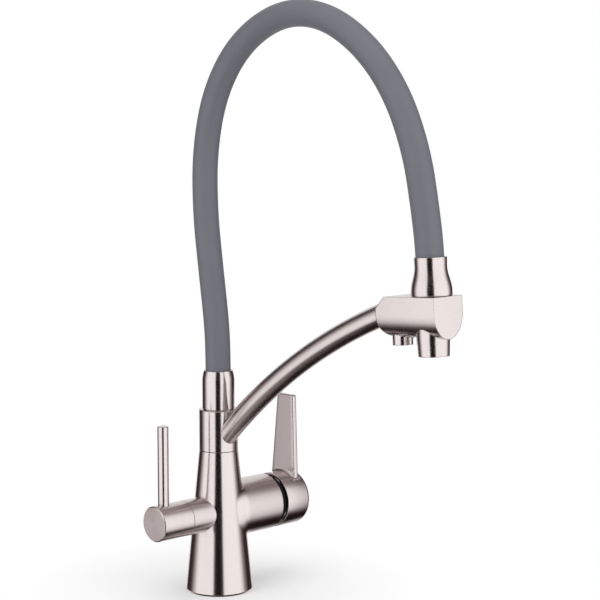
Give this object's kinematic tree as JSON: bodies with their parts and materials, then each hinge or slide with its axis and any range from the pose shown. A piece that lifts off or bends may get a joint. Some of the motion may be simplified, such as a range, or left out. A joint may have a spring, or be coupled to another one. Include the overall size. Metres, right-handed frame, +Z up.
{
  "type": "flexible spout kitchen mixer",
  "caption": "Deck-mounted two-way kitchen mixer: slender cone body, side cartridge with blade lever, filter valve with rod lever, and a flexible hose arching to a head on a rigid arm.",
  "frame": {"origin": "centre of the base's seat on the worktop", "axes": "+Z up along the body; +X towards the mixing lever's side; the spout points along -Y at rest"},
  "size_m": [0.149, 0.2735, 0.4703],
  "materials": {
    "brushed_nickel": "finely brushed nickel, warm grey",
    "hose_silicone": "matt blue-grey silicone",
    "black_plastic": "black, moulded",
    "ceramic": "lapped white ceramic",
    "cartridge_plastic": "off-white, moulded",
    "white_plastic": "white, moulded",
    "brass": "machined brass",
    "plain_steel": "plain stainless steel"
  },
  "bodies": {
    "tap_body": {"body_shell": "brushed_nickel", "cartridge_shell": "cartridge_plastic", "cartridge_nut": "black_plastic", "filter_valve_body": "brass", "swivel_spigot": "brass"},
    "mixer_carrier": {"lever_guide": "cartridge_plastic", "pivot_pin": "plain_steel"},
    "mixing_disc": {"mixing_ceramic_disc": "ceramic"},
    "mixer_lever": {"lever_stem": "brass", "mixer_handle": "brushed_nickel", "handle_grub_screw": "plain_steel"},
    "filter_lever": {"filter_spindle": "brass", "filter_knob": "brushed_nickel", "filter_rod": "brushed_nickel", "knob_grub_screw": "plain_steel"},
    "spout": {"swivel_collar": "brushed_nickel", "spout_arm": "brushed_nickel", "lower_hose_ferrule": "brushed_nickel", "spout_hose": "hose_silicone", "hose_bell": "brushed_nickel", "head_block": "brushed_nickel", "aerator": "white_plastic", "flow_straightener": "white_plastic"}
  },
  "joints": [
    {"name": "spout_swivel", "type": "hinge", "parent": "tap_body", "child": "spout", "pos_m": [0, 0, 0.13], "axis": [0, 0, 1], "continuous": true},
    {"name": "mixer_temperature", "type": "hinge", "parent": "tap_body", "child": "mixer_carrier", "pos_m": [0.042, 0, 0.0645], "axis": [1, 0, 0], "range_deg": [-50, 50]},
    {"name": "mixer_lift", "type": "hinge", "parent": "mixer_carrier", "child": "mixer_lever", "pos_m": [0.042, 0, 0.0645], "axis": [0, 1, 0], "range_deg": [0, 22]},
    {"name": "mixing_disc_slide", "type": "slide", "parent": "mixer_carrier", "child": "mixing_disc", "axis": [0, 0, 1], "range_m": [0, 0.0026]},
    {"name": "filter_turn", "type": "hinge", "parent": "tap_body", "child": "filter_lever", "pos_m": [-0.045, 0, 0.0645], "axis": [1, 0, 0], "range_deg": [0, 90]}
  ],
  "couplings": [
    {"joint": "mixing_disc_slide", "follows": "mixer_lift", "m_per_rad": 0.00644}
  ]
}
